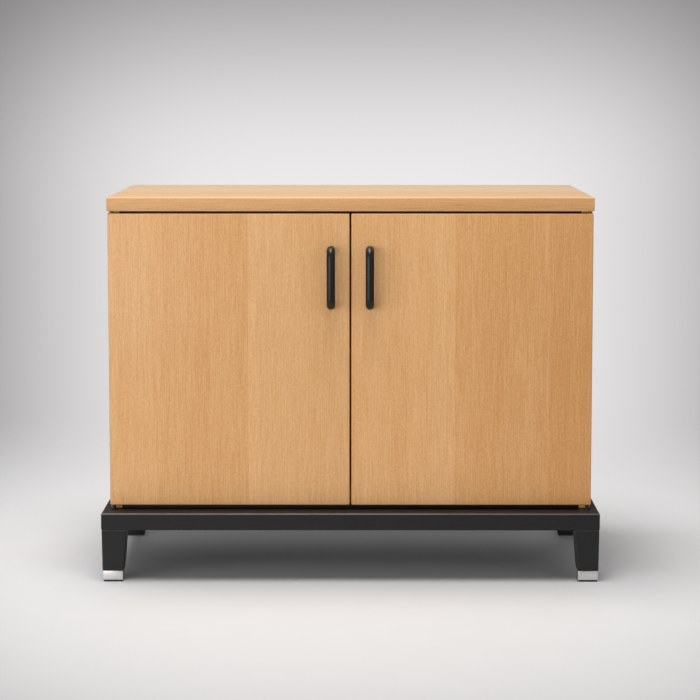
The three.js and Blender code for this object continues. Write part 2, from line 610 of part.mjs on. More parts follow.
// A leg stands on its own foot centre, and its upper end leans inwards by half its taper
function leg(sideX, sideY) {
  const leanX = -sideX * legShift;
  const leanY = -sideY * legShift;
  const outside = loft(ring(LEG_FOOT, LEG_CORNER, 0, 0), 0, ring(LEG_TOP, LEG_CORNER, leanX, leanY), LEG_HEIGHT);
  const inner = LEG_CORNER / 2;
  const past = (LEG_HEIGHT + PAST) / LEG_HEIGHT;
  const below = -PAST / LEG_HEIGHT;
  const widthAt = (share) => LEG_FOOT + share * (LEG_TOP - LEG_FOOT) - 2 * LEG_WALL;
  const lower = ring(widthAt(below), inner, leanX * below, leanY * below);
  const upper = ring(widthAt(past), inner, leanX * past, leanY * past);
  return cut(outside, loft(lower, -PAST, upper, LEG_HEIGHT + PAST));
}

function foot() {
  const bodyBlock = block(FOOT_WIDTH, FOOT_WIDTH, FOOT_HEIGHT, FOOT_ARRIS);
  const spigotWidth = LEG_FOOT - 2 * LEG_WALL - 2 * FIT;
  const spigot = block(spigotWidth, spigotWidth, FOOT_SPIGOT + PAST, LEG_CORNER / 2);
  spigot.translate(0, 0, (FOOT_HEIGHT + FOOT_SPIGOT - PAST) / 2);
  const depth = PAD_STUD + FIT;
  const hole = rod(PAD_STUD_RADIUS + FIT, depth + PAST);
  hole.translate(0, 0, depth / 2 - PAST / 2 - FOOT_HEIGHT / 2);
  return cut(join(bodyBlock, spigot), hole);
}

function pad() {
  const sole = block(PAD_WIDTH, PAD_WIDTH, PAD_HEIGHT, PAD_ARRIS);
  const length = PAD_STUD + PAD_HEIGHT / 2;
  const stud = rod(PAD_STUD_RADIUS, length);
  stud.translate(0, 0, length / 2);
  return join(sole, stud);
}

for (const { name, sideX, sideY } of CORNERS) {
  const x = sideX * (BASE_WIDTH / 2 - legFootCentre);
  const y = BASE_MIDDLE + sideY * (BASE_DEPTH / 2 - legFootCentre);
  add(`leg_${name}`, leg(sideX, sideY), blackSteel, x, y, RAIL_BOTTOM - LEG_HEIGHT);
  const footFinish = sideY < 0 ? satinMetal : blackSteel;
  add(`foot_${name}`, foot(), footFinish, x, y, PAD_HEIGHT + FOOT_HEIGHT / 2);
  add(`foot_pad_${name}`, pad(), rubber, x, y, PAD_HEIGHT / 2);
}

export default credenza;
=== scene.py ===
import math

import bpy
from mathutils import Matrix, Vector


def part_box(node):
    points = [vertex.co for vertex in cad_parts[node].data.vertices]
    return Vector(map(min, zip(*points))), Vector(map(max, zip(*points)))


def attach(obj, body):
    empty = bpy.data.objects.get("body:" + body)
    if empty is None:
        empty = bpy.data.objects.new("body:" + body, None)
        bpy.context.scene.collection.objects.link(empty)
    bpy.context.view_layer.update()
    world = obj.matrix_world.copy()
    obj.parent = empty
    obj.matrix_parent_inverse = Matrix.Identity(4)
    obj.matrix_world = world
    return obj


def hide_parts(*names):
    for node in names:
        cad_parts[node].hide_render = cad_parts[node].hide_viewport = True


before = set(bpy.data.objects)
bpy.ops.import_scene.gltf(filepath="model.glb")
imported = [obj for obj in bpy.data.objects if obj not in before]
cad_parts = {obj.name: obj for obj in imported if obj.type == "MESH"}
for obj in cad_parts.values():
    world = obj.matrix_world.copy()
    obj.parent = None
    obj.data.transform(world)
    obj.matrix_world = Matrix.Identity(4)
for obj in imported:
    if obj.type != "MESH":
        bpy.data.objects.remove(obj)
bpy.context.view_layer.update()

# Viewpoint
# The cabinet is seen square from the front, from about four metres, a little above its top.
# A long lens with a small downward shift keeps its upright edges almost parallel.
VIEW_PLACE = (0.0164, -3.9982, 0.8852)
VIEW_DOWN = math.radians(5.345)
VIEW_TURN = math.radians(0.148)
VIEW_LENS = 111.77
VIEW_SENSOR = 36
VIEW_SHIFT = (-0.006, -0.1)

bpy.ops.object.select_all(action="DESELECT")
bpy.ops.object.camera_add(location=VIEW_PLACE, rotation=(math.pi / 2 - VIEW_DOWN, 0, VIEW_TURN))
viewpoint = bpy.context.object
viewpoint.name = "viewpoint"
viewpoint.data.sensor_width = VIEW_SENSOR
viewpoint.data.lens = VIEW_LENS
viewpoint.data.shift_x, viewpoint.data.shift_y = VIEW_SHIFT
bpy.context.scene.camera = viewpoint
bpy.context.scene.view_settings.view_transform = "Standard"


# Foot pads
# Moulded soles of black rubber that stand on the floor and carry the whole cabinet.
# The stud that is pressed up into the metal foot doesn't show and is left out here.
class Tone:
    """A value in a finish. Sums and products of tones become Math nodes of that finish."""

    def __init__(self, socket):
        self.socket = socket
        self.tree = socket.id_data

    @staticmethod
    def make(tree, kind, settings=None, inputs=None, output=0):
        """Adds a node to a finish: its settings first, then the values or links of its sockets."""
        node = tree.nodes.new(kind)
        for key, value in (settings or {}).items():
            if key == "stops":
                ramp = node.color_ramp
                while len(ramp.elements) < len(value):
                    ramp.elements.new(1)
                for element, (place, colour) in zip(ramp.elements, value):
                    element.position = place
                    element.color = (*colour, 1)
            else:
                setattr(node, key, value)
        for key, value in (inputs or {}).items():
            if isinstance(value, Tone):
                tree.links.new(value.socket, node.inputs[key])
            else:
                node.inputs[key].default_value = value
        return Tone(node.outputs[output])

    def maths(self, operation, *others):
        """A Math node with this value first and the others after it."""
        inputs = dict(enumerate((self, *others)))
        return self.make(self.tree, "ShaderNodeMath", {"operation": operation}, inputs)

    def __add__(self, other):
        return self.maths("ADD", other)

    def __mul__(self, other):
        return self.maths("MULTIPLY", other)

    def __sub__(self, other):
        return self.maths("SUBTRACT", other)

    def __rsub__(self, other):
        return self.make(self.tree, "ShaderNodeMath", {"operation": "SUBTRACT"}, {0: other, 1: self})

    __radd__ = __add__
    __rmul__ = __mul__

    def between(self, low, high):
        """How far the value has gone from low to high, held at 0 and 1."""
        settings = {"interpolation_type": "SMOOTHSTEP"}
        return self.make(self.tree, "ShaderNodeMapRange", settings, {0: self, 1: low, 2: high})


def new_finish(name, **constants):
    """A material with a Principled shader, given with its tree, shader and Object coordinates."""
    finish = bpy.data.materials.new(name)
    finish.use_nodes = True
    tree = finish.node_tree
    shader = tree.nodes["Principled BSDF"]
    for socket, value in constants.items():
        shader.inputs[socket.replace("_", " ")].default_value = value
    place = Tone.make(tree, "ShaderNodeTexCoord", output="Object")
    return finish, tree, shader, place


def feed(tree, shader, **tones):
    """Links tones to sockets of a shader, whose names are written with _ for each space."""
    for socket, tone in tones.items():
        tree.links.new(tone.socket, shader.inputs[socket.replace("_", " ")])


def grain(tree, vector, detail=2.0, rough=0.5, scale=1.0):
    """Noise on those coordinates, from 0 to 1."""
    inputs = {"Vector": vector, "Scale": scale, "Detail": detail, "Roughness": rough}
    return Tone.make(tree, "ShaderNodeTexNoise", None, inputs)


def blend_colours(tree, factor, first, second):
    """The first colour where the factor is 0, and the second where it is 1."""
    inputs = {0: factor, 6: first, 7: second}
    return Tone.make(tree, "ShaderNodeMix", {"data_type": "RGBA"}, inputs, output=2)


def bumped(tree, height, strength, distance):
    """A normal that follows the height, for fine relief."""
    inputs = {"Height": height, "Strength": strength, "Distance": distance}
    return Tone.make(tree, "ShaderNodeBump", None, inputs)


RUBBER_BLACK = (0.012, 0.012, 0.013, 1)
RUBBER_DUST = (0.03, 0.029, 0.028, 1)


def rubber_finish(name):
    """Black rubber, with pores and a little pale dust."""
    finish, tree, shader, place = new_finish(name, IOR=1.5)
    dust_and_reflection = grain(tree, place, detail=3, scale=160)
    pores = grain(tree, place, detail=2, scale=2600)
    colour = blend_colours(tree, dust_and_reflection.between(0.45, 0.8), RUBBER_BLACK, RUBBER_DUST)
    feed(tree, shader, Base_Color=colour, Roughness=0.62 + 0.2 * dust_and_reflection)
    feed(tree, shader, Normal=bumped(tree, pores, strength=0.3, distance=0.0003))
    return finish


SMOOTH_ANGLE = math.radians(35)


def block(name, low, high, arris, steps=3):
    """A box between two corners with all its edges rounded over, its place in its mesh."""
    low, high = Vector(low), Vector(high)
    bpy.ops.object.select_all(action="DESELECT")
    bpy.ops.mesh.primitive_cube_add(size=1, location=(low + high) / 2)
    piece = bpy.context.object
    piece.name = piece.data.name = name
    piece.scale = high - low
    bpy.ops.object.transform_apply(location=True, rotation=True, scale=True)
    if arris:
        bpy.ops.object.mode_set(mode="EDIT")
        bpy.ops.mesh.select_all(action="SELECT")
        bpy.ops.mesh.bevel(offset=arris, offset_type="OFFSET", segments=steps, affect="EDGES")
        bpy.ops.object.mode_set(mode="OBJECT")
    bpy.ops.object.shade_smooth_by_angle(angle=SMOOTH_ANGLE)
    return piece


def choose(piece, kind, test):
    """Selects the faces or edges of a piece that pass a test on their middle and direction."""
    if bpy.context.mode != "OBJECT":
        bpy.ops.object.mode_set(mode="OBJECT")
    bpy.ops.object.select_all(action="DESELECT")
    bpy.context.view_layer.objects.active = piece
    piece.select_set(True)
    bpy.ops.object.mode_set(mode="EDIT")
    bpy.ops.mesh.select_mode(type=kind)
    bpy.ops.mesh.select_all(action="DESELECT")
    bpy.ops.object.mode_set(mode="OBJECT")
    mesh = piece.data
    if kind == "FACE":
        for face in mesh.polygons:
            face.select = test(face.center, face.normal)
    else:
        for edge in mesh.edges:
            first, second = (mesh.vertices[i].co for i in edge.vertices)
            edge.select = test((first + second) / 2, (second - first).normalized())
    bpy.ops.object.mode_set(mode="EDIT")


def copy_to(pattern, name, place, turn=(0, 0, 0), flip=(1, 1)):
    """Copies a piece, with a mesh of its own: mirrored, turned about the origin, and then moved.

    A -1 in flip makes a mirror image along X or Y."""
    bpy.ops.object.select_all(action="DESELECT")
    bpy.context.view_layer.objects.active = pattern
    pattern.select_set(True)
    bpy.ops.object.duplicate(linked=False)
    copy = bpy.context.object
    copy.name = copy.data.name = name
    copy.location = place
    copy.rotation_euler = turn
    copy.scale = (*flip, 1)
    bpy.ops.object.transform_apply(location=True, rotation=True, scale=True)
    choose(copy, "FACE", lambda middle, normal: True)
    bpy.ops.mesh.normals_make_consistent(inside=False)
    bpy.ops.object.mode_set(mode="OBJECT")
    return copy


def fit_out(piece, finish, body, slot, *stands_for):
    """Gives a piece its finish and says what it rides on and which solids it stands for."""
    piece.data.materials.clear()
    piece.data.materials.append(finish)
    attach(piece, body)
    if stands_for:
        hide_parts(*stands_for)


CORNERS = ("front_left", "front_right", "rear_left", "rear_right")
PAD_ARRIS = 0.001
PAD_HEIGHT = 0.003
rubber = rubber_finish("foot_rubber")
low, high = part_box("foot_pad_front_left")
half = Vector((high.x - low.x, high.y - low.y, PAD_HEIGHT)) / 2
pattern = block("sole", -half, half, PAD_ARRIS)
for corner in CORNERS:
    low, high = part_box(f"foot_pad_{corner}")
    pad = copy_to(pattern, f"sole_{corner}", low + half)
    fit_out(pad, rubber, "cabinet", "rubber", f"foot_pad_{corner}")
bpy.data.objects.remove(pattern)


# Feet
# Metal blocks sawn from square bar: the front pair brushed bare, the rear pair coated black like the legs.
# The spigot on top that fills the open end of the leg doesn't show and is left out here.
FOOT_ARRIS = 0.0012
SPIGOT_HEIGHT = 0.012
BRIGHT_METAL = (0.84, 0.82, 0.8, 1)
DULL_METAL = (0.6, 0.58, 0.57, 1)
METAL_ROUGHNESS = 0.2
COAT_LIGHT = (0.0045, 0.0043, 0.0046, 1)
COAT_DARK = (0.003, 0.0029, 0.0031, 1)
# Painted highlight on the upper edges of the black coat.
COAT_EDGE_HIGHLIGHT = (0.13, 0.125, 0.123, 1)
# Painted reflection of the beech doors, laid on what faces up.
COAT_DOOR_REFLECTION = (0.024, 0.0145, 0.0105, 1)


def scaled(tree, place, x, y, z):
    """Coordinates stretched along each axis."""
    return Tone.make(tree, "ShaderNodeVectorMath", {"operation": "MULTIPLY"}, {0: place, 1: (x, y, z)})


def brushed_finish(name, light, dark, rough):
    """Bare metal, brushed level round its sides."""
    finish, tree, shader, place = new_finish(name, Metallic=1.0)
    lines = grain(tree, scaled(tree, place, 60, 60, 5200), detail=3, rough=0.7)
    cloud = grain(tree, place, detail=2, scale=45)
    colour = blend_colours(tree, 0.6 * lines + 0.4 * cloud, dark, light)
    feed(tree, shader, Base_Color=colour, Roughness=rough + 0.16 * lines)
    feed(tree, shader, Normal=bumped(tree, lines, strength=0.12, distance=0.0002))
    return finish


def powder_finish(name, light, dark, highlight_colour, dust_and_reflection):
    """Satin black powder coat, a fine orange peel under a smoother skin.

    What faces up is painted brown, a painted reflection of the beech doors, and the upper edges are painted
    lighter, a painted highlight."""
    finish, tree, shader, place = new_finish(name, IOR=1.36, Coat_Weight=0.25, Coat_Roughness=0.08)
    peel = grain(tree, place, detail=1, scale=900)
    haze = grain(tree, scaled(tree, place, 5, 9, 12), detail=4, rough=0.6)
    specks = grain(tree, place, detail=1, scale=2400)
    tone = 0.7 * haze + 0.3 * specks
    coat = blend_colours(tree, tone.between(0.3, 0.7), dark, light)
    facing = Tone.make(tree, "ShaderNodeTexCoord", output="Normal")
    ways = [Tone.make(tree, "ShaderNodeSeparateXYZ", None, {0: facing}, output=i) for i in range(3)]
    squarest = ways[0].maths("ABSOLUTE").maths("MAXIMUM", ways[1].maths("ABSOLUTE"))
    squarest = squarest.maths("MAXIMUM", ways[2].maths("ABSOLUTE"))
    # The upper arrises are painted lighter as a painted highlight, and are smoother there.
    highlighted_edges = (1 - squarest.between(0.9, 0.985)) * ways[2].between(-0.15, 0.5)
    # What faces up is painted brown: a painted reflection of the beech doors.
    coat = blend_colours(tree, ways[2].between(0.9, 0.99) * (0.6 + 0.8 * specks), coat, dust_and_reflection)
    feed(tree, shader, Base_Color=blend_colours(tree, highlighted_edges * (0.5 + 0.7 * haze), coat, highlight_colour))
    feed(tree, shader, Roughness=0.56 + 0.1 * haze - 0.25 * highlighted_edges)
    feed(tree, shader, Normal=bumped(tree, peel, strength=0.1, distance=0.0003))
    return finish


satin_metal = brushed_finish("satin_metal", BRIGHT_METAL, DULL_METAL, METAL_ROUGHNESS)
black_coat = powder_finish("black_powder_coat", COAT_LIGHT, COAT_DARK, COAT_EDGE_HIGHLIGHT, COAT_DOOR_REFLECTION)
low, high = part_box("foot_front_left")
half = (high - low - Vector((0, 0, SPIGOT_HEIGHT))) / 2
pattern = block("foot", -half, half, FOOT_ARRIS, steps=4)
for corner in CORNERS:
    low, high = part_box(f"foot_{corner}")
    foot = copy_to(pattern, f"foot_block_{corner}", low + half)
    if "front" in corner:
        fit_out(foot, satin_metal, "cabinet", "satin_metal", f"foot_{corner}")
    else:
        fit_out(foot, black_coat, "cabinet", "black_steel", f"foot_{corner}")
bpy.data.objects.remove(pattern)


# Legs
# Folded steel tubes that taper on their two inner faces, welded under the corners of the base.
# They are coated black with the base in one go.
LEG_ARRIS = 0.0025
LEG_END_ARRIS = 0.0008
LEG_FOOT_WIDTH = 0.037
LEG_FOOT_INSET = 0.001
low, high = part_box("leg_front_left")
half = (high - low) / 2
foot_edge = Vector((LEG_FOOT_INSET, LEG_FOOT_INSET, 0)) - half
foot_width = Vector((LEG_FOOT_WIDTH, LEG_FOOT_WIDTH, high.z - low.z))
pattern = block("leg", foot_edge, foot_edge + foot_width, arris=0)
choose(pattern, "FACE", lambda middle, normal: normal.z > 0.5)
grow = (high.x - low.x) / LEG_FOOT_WIDTH
bpy.ops.transform.resize(value=(grow, grow, 1))
lean = -foot_edge - foot_width / 2
bpy.ops.transform.translate(value=(lean.x, lean.y, 0))
choose(pattern, "EDGE", lambda middle, along: abs(along.z) > 0.5)
bpy.ops.mesh.bevel(offset=LEG_ARRIS, segments=4, affect="EDGES")
choose(pattern, "FACE", lambda middle, normal: abs(normal.z) > 0.5)
bpy.ops.mesh.region_to_loop()
bpy.ops.mesh.bevel(offset=LEG_END_ARRIS, segments=3, affect="EDGES")
bpy.ops.object.mode_set(mode="OBJECT")
bpy.ops.object.shade_smooth_by_angle(angle=SMOOTH_ANGLE)
for corner in CORNERS:
    low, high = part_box(f"leg_{corner}")
    flip = (1 if "left" in corner else -1, 1 if "front" in corner else -1)
    leg = copy_to(pattern, f"tapered_leg_{corner}", (low + high) / 2, flip=flip)
    fit_out(leg, black_coat, "cabinet", "black_steel", f"leg_{corner}")
bpy.data.objects.remove(pattern)


# Base frame
# Four lengths of rectangular steel tube, mitred, welded into a frame and ground flush, so no joint shows.
# It stands out past the doors as a ledge at the front and sides.
BASE_RAIL_WIDTH = 0.06
BASE_ARRIS = 0.0025
RAILS = ("base_rail_front", "base_rail_rear", "base_rail_left", "base_rail_right")
rail_boxes = [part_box(rail) for rail in RAILS]
base_low = Vector(min(low[i] for low, high in rail_boxes) for i in range(3))
base_high = Vector(max(high[i] for low, high in rail_boxes) for i in range(3))
base = block("base_frame", base_low, base_high, arris=0)
choose(base, "FACE", lambda middle, normal: abs(normal.z) > 0.5)
bpy.ops.mesh.inset(thickness=BASE_RAIL_WIDTH, use_individual=True)
bpy.ops.mesh.bridge_edge_loops()
bpy.ops.object.mode_set(mode="OBJECT")


def on_tube_edge(middle, along):
    """True on the long edges and upright corners of the tubes, and false on the mitre lines."""
    return max(abs(along.x), abs(along.y), abs(along.z)) > 0.99


choose(base, "EDGE", on_tube_edge)
bpy.ops.mesh.bevel(offset=BASE_ARRIS, segments=4, affect="EDGES")
bpy.ops.object.mode_set(mode="OBJECT")
bpy.ops.object.shade_smooth_by_angle(angle=SMOOTH_ANGLE)
fit_out(base, black_coat, "cabinet", "black_steel", *RAILS)


# Side panels
# Veneered boards with upright grain that stand on the base, with two drilled rows for the shelf inside.
# All the wood is beech under a thin satin lacquer.
PALE_BEECH = (0.96, 0.61, 0.31)
LIGHT_BEECH = (0.83, 0.5, 0.235)
MID_BEECH = (0.74, 0.404, 0.162)
DARK_BEECH = (0.64, 0.295, 0.088)
FLECK_BEECH = (0.48, 0.19, 0.05, 1)
LEAF_APART = 7.3
BORE_SIDES = 24
BOARD_ARRIS = 0.0009


def beech_finish(name, along, across, leaves, offset=0.0, polish=0.0, deeper=0.0, painted_light_up=0.0):
    """Beech veneer, its grain along one axis and its leaves side by side across another.

    A leaf is given by the place where it starts and by how much lighter it is than the one before.
    The offset moves the figure along the grain, and deeper darkens all of it.
    Polish is extra gloss on what faces up. What faces up can be painted lighter than the edges: painted
    light, and the darker lipping."""
    finish, tree, shader, place = new_finish(name, IOR=1.5, Coat_Roughness=0.18)
    facing = Tone.make(tree, "ShaderNodeTexCoord", output="Normal")
    upward = Tone.make(tree, "ShaderNodeSeparateXYZ", None, {0: facing}, output="Z").between(0.6, 0.99)
    parts = {}
    for letter in "XYZ":
        parts[letter] = Tone.make(tree, "ShaderNodeSeparateXYZ", None, {0: place}, output=letter)
    depth = ({"X", "Y", "Z"} - {along, across}).pop()
    number = 0.0
    # What faces up is painted lighter: painted light from above, with the darker lipping of the edges.
    shade = painted_light_up * upward - deeper
    for start, lighter in leaves:
        past = parts[across].maths("GREATER_THAN", start)
        number = past + number
        shade = past * lighter + shade

    def stretched(wide, long, shift):
        """Coordinates for a noise that is fine across the grain and long along it."""
        length = parts[along] * long + number * LEAF_APART + offset
        inputs = {0: parts[across] * wide + shift, 1: parts[depth] * wide, 2: length}
        return Tone.make(tree, "ShaderNodeCombineXYZ", None, inputs)

    bands = grain(tree, stretched(wide=13, long=0.6, shift=3.1), detail=2, rough=0.5)
    waves = grain(tree, stretched(wide=60, long=2.4, shift=9.4), detail=3, rough=0.6)
    streaks = grain(tree, stretched(wide=740, long=15, shift=1.7), detail=3, rough=0.75)
    specks = grain(tree, stretched(wide=850, long=260, shift=5.2), detail=2, rough=0.7)
    flecks = grain(tree, stretched(wide=1100, long=130, shift=8.8), detail=1, rough=0.4)
    tone = 0.12 * bands + 0.12 * waves + 0.42 * streaks + 0.38 * specks + shade - 0.02
    stops = [(0.37, DARK_BEECH), (0.5, MID_BEECH), (0.63, LIGHT_BEECH), (0.78, PALE_BEECH)]
    wood = Tone.make(tree, "ShaderNodeValToRGB", {"stops": stops}, {"Fac": tone})
    wood = blend_colours(tree, 0.3 * flecks.between(0.62, 0.75), wood, FLECK_BEECH)
    feed(tree, shader, Base_Color=wood, Roughness=0.46 + 0.16 * streaks)
    feed(tree, shader, Normal=bumped(tree, 0.5 * specks + 0.5 * flecks, strength=0.05, distance=0.0002))
    feed(tree, shader, Coat_Weight=0.12 + polish * upward)
    return finish


def bore(radius, depth, place, axis):
    """A drill for a blind hole of that radius and depth, from a point on a face along an axis."""
    bpy.ops.object.select_all(action="DESELECT")
    turn = Vector(axis).to_track_quat("Z", "Y").to_euler()
    bpy.ops.mesh.primitive_cylinder_add(
        vertices=BORE_SIDES, radius=radius, depth=2 * depth, location=place, rotation=turn)
    bpy.ops.object.transform_apply(location=True, rotation=True, scale=True)
    return bpy.context.object


def cut_away(piece, cutters):
    """Takes the cutters out of a piece with one Boolean each, and removes them."""
    for cutter in cutters:
        bpy.ops.object.select_all(action="DESELECT")
        bpy.context.view_layer.objects.active = piece
        piece.select_set(True)
        cut = piece.modifiers.new("cut", "BOOLEAN")
        cut.operation = "DIFFERENCE"
        cut.solver = "EXACT"
        cut.object = cutter
        bpy.ops.object.modifier_apply(modifier=cut.name)
        bpy.data.objects.remove(cutter)
    bpy.ops.object.shade_smooth_by_angle(angle=SMOOTH_ANGLE)


SHELF_HOLE_RADIUS = 0.0028
SHELF_HOLE_DEPTH = 0.0093
SHELF_HOLE_PITCH = 0.032
SHELF_HOLE_STEPS = (-2, -1, 0, 1, 2)
SIDE_LEAVES = ((-0.06, -0.03), (0.105, 0.04))
SIDE_GRAIN = 4.1
low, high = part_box("side_panel_left")
panel = block("veneered_side_left", low, high, BOARD_ARRIS)
drills = []
for row in ("front", "rear"):
    pin_low, pin_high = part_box(f"shelf_pin_{row}_left")
    middle = (pin_low + pin_high) / 2
    for step in SHELF_HOLE_STEPS:
        place = (high.x, middle.y, middle.z + step * SHELF_HOLE_PITCH)
        drills.append(bore(SHELF_HOLE_RADIUS, SHELF_HOLE_DEPTH, place, (1, 0, 0)))
cut_away(panel, drills)
mirrored = copy_to(panel, "veneered_side_right", (0, 0, 0), flip=(-1, 1))
for side, piece, offset in (("left", panel, -SIDE_GRAIN), ("right", mirrored, SIDE_GRAIN)):
    finish = beech_finish(f"beech_side_{side}", "Z", "Y", SIDE_LEAVES, offset)
    fit_out(piece, finish, "cabinet", "beech", f"side_panel_{side}")


# Bottom, back and top rails
# The bottom and the two rails are beech boards dowelled between the sides, with their grain level.
# The back is thin plywood, screwed on from behind to the bottom and to the rear rail.
LEVEL_LEAVES = ((-0.03, 0.03), (0.13, -0.04))
LEVEL_GRAIN = 2.7
LEVEL_BOARDS = {
    "bottom_panel": "cabinet_bottom",
    "top_rail_front": "front_rail",
    "top_rail_rear": "rear_rail",
}
# A black band on the front rail's edge, painted as shade in the gap over the doors.
SHADOW_BAND_THICKNESS = 0.0006
level_beech = beech_finish("beech_level", "X", "Y", LEVEL_LEAVES, LEVEL_GRAIN)
for node, name in LEVEL_BOARDS.items():
    low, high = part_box(node)
    if name == "front_rail":
        low.y += SHADOW_BAND_THICKNESS
    fit_out(block(name, low, high, BOARD_ARRIS), level_beech, "cabinet", "beech", node)

BACK_LEAVES = ((-0.2, 0.03), (0.04, -0.04), (0.25, 0.03))
BACK_GRAIN = 11.3
BACK_DEEPER = 0.02
BACK_ARRIS = 0.0005
BACK_SCREW_RADIUS = 0.0035
BACK_SCREW_HEAD = 0.0018
BACK_SCREW_SHANK = 0.0015
BACK_SCREW_LENGTH = 0.016
BACK_SCREW_SINK = 0.0004
SINK_RADIUS = 0.0037
FACING_BACK = (-math.pi / 2, 0, 0)
BACK_SCREW_PLACES = (-0.38, -0.19, 0.0, 0.19, 0.38)
SCREW_SIDES = 32
CROSS_REACH = 0.55
CROSS_WIDTH = 0.13
CROSS_DEPTH = 0.6
SUNK_ARRIS = 1 / 12
PAN_ARRIS = 1 / 2
ZINC_LIGHT = (0.62, 0.63, 0.65, 1)
ZINC_DARK = (0.42, 0.43, 0.45, 1)
ZINC_ROUGHNESS = 0.22


def turned_finish(name, light, dark, rough):
    """Metal with fine marks in every direction, as from tumbling and handling."""
    finish, tree, shader, place = new_finish(name, Metallic=1.0)
    marks = grain(tree, place, detail=4, rough=0.7, scale=420)
    cloud = grain(tree, place, detail=2, scale=70)
    feed(tree, shader, Base_Color=blend_colours(tree, 0.5 * marks + 0.5 * cloud, dark, light))
    feed(tree, shader, Roughness=rough + 0.2 * marks)
    feed(tree, shader, Normal=bumped(tree, marks, strength=0.08, distance=0.0002))
    return finish


def cross_screw(radius, head, shank, length, sunk):
    """A screw with a cross recess, the middle of its head's face at the origin and its point below.

    The recess and the arris are shares of the radius and of the height of the head."""
    bpy.ops.object.select_all(action="DESELECT")
    bpy.ops.mesh.primitive_cylinder_add(
        vertices=SCREW_SIDES, radius=radius, depth=head, location=(0, 0, -head / 2))
    screw = bpy.context.object
    bpy.ops.object.transform_apply(location=True, rotation=True, scale=True)
    choose(screw, "FACE", lambda middle, normal: normal.z < -0.5)
    if sunk:
        narrow = shank / radius
        bpy.ops.transform.resize(value=(narrow, narrow, 1))
    else:
        bpy.ops.mesh.inset(thickness=radius - shank)
    bpy.ops.mesh.extrude_region_move(TRANSFORM_OT_translate={"value": (0, 0, head - length)})
    choose(screw, "FACE", lambda middle, normal: normal.z > 0.5)
    bpy.ops.mesh.region_to_loop()
    arris = SUNK_ARRIS * radius if sunk else PAN_ARRIS * head
    bpy.ops.mesh.bevel(offset=arris, segments=4, affect="EDGES")
    bpy.ops.object.mode_set(mode="OBJECT")
    arm = Vector((CROSS_REACH * radius, CROSS_WIDTH * radius, CROSS_DEPTH * head))
    other = Vector((arm.y, arm.x, arm.z))
    cut_away(screw, [block("recess", -half, half, arris=0) for half in (arm, other)])
    return screw


zinc = turned_finish("zinc_plate", ZINC_LIGHT, ZINC_DARK, ZINC_ROUGHNESS)
low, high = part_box("back_panel")
ply_back = beech_finish("plywood_back", "Z", "X", BACK_LEAVES, BACK_GRAIN, deeper=BACK_DEEPER)
back = block("ply_back", low, high, BACK_ARRIS, steps=2)
sinks = []
heads = []
for edge in ("bottom_panel", "top_rail_rear"):
    edge_low, edge_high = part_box(edge)
    for x in BACK_SCREW_PLACES:
        place = Vector((x, high.y, (edge_low.z + edge_high.z) / 2))
        sinks.append(bore(SINK_RADIUS, BACK_SCREW_HEAD, place, (0, 1, 0)))
        heads.append(place - Vector((0, BACK_SCREW_SINK, 0)))
cut_away(back, sinks)
fit_out(back, ply_back, "cabinet", "backing", "back_panel")

pattern = cross_screw(BACK_SCREW_RADIUS, BACK_SCREW_HEAD, BACK_SCREW_SHANK, BACK_SCREW_LENGTH, sunk=True)
for number, place in enumerate(heads, 1):
    fit_out(copy_to(pattern, f"back_screw_{number}", place, FACING_BACK), zinc, "cabinet", "zinc")
bpy.data.objects.remove(pattern)


# Bearer, shade sheet and shadow band
# A black moulded strip on the base carries the bottom's front; a thin black sheet under it is painted
# shade.
# A thin black band stuck on the front edge of the rail is painted shade, so the gap over the doors reads
# dark.
MOULDED_DARK = (0.005, 0.0047, 0.0045, 1)
MOULDED_LIGHT = (0.009, 0.0085, 0.008, 1)
SHEET_THICKNESS = 0.0008
THIN_ARRIS = 1 / 4


def moulded_finish(name):
    """Black plastic with the fine grain of its mould."""
    finish, tree, shader, place = new_finish(name, IOR=1.4)
    spark = grain(tree, place, detail=2, scale=1500)
    colour = blend_colours(tree, spark, MOULDED_DARK, MOULDED_LIGHT)
    feed(tree, shader, Base_Color=colour, Roughness=0.5 + 0.15 * spark)
    feed(tree, shader, Normal=bumped(tree, spark, strength=0.2, distance=0.0002))
    return finish


dark_moulding = moulded_finish("dark_moulding")
low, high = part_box("bearer")
fit_out(block("bottom_bearer", low, high, BOARD_ARRIS), dark_moulding, "cabinet", "dark_plastic", "bearer")

# A black sheet under the bottom: painted shade that keeps the underside dark.
low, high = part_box("bottom_panel")
high.z = low.z
low.z -= SHEET_THICKNESS
low.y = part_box("bearer")[1].y
shade_sheet = block("underside_shade_sheet", low, high, THIN_ARRIS * SHEET_THICKNESS, steps=2)
fit_out(shade_sheet, dark_moulding, "cabinet", "dark_plastic")

# A black band on the rail's front edge: painted shade in the gap over the doors.
low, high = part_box("top_rail_front")
high.y = low.y + SHADOW_BAND_THICKNESS
shadow_band = block("front_rail_shadow_band", low, high, THIN_ARRIS * SHADOW_BAND_THICKNESS, steps=2)
fit_out(shadow_band, dark_moulding, "cabinet", "dark_plastic")


# Top panel
# A thick veneered board with its grain along the front, lipped and rounded over on all its edges.
# It lies on the sides and rails, and holds the upper hinge sockets in slots under its front edge.
TOP_ARRIS = 0.0015
TOP_LEAVES = ((-0.05, 0.02), (0.12, -0.03))
TOP_GRAIN = 5.9
TOP_POLISH = 0.8
TOP_DEEPER = 0.02
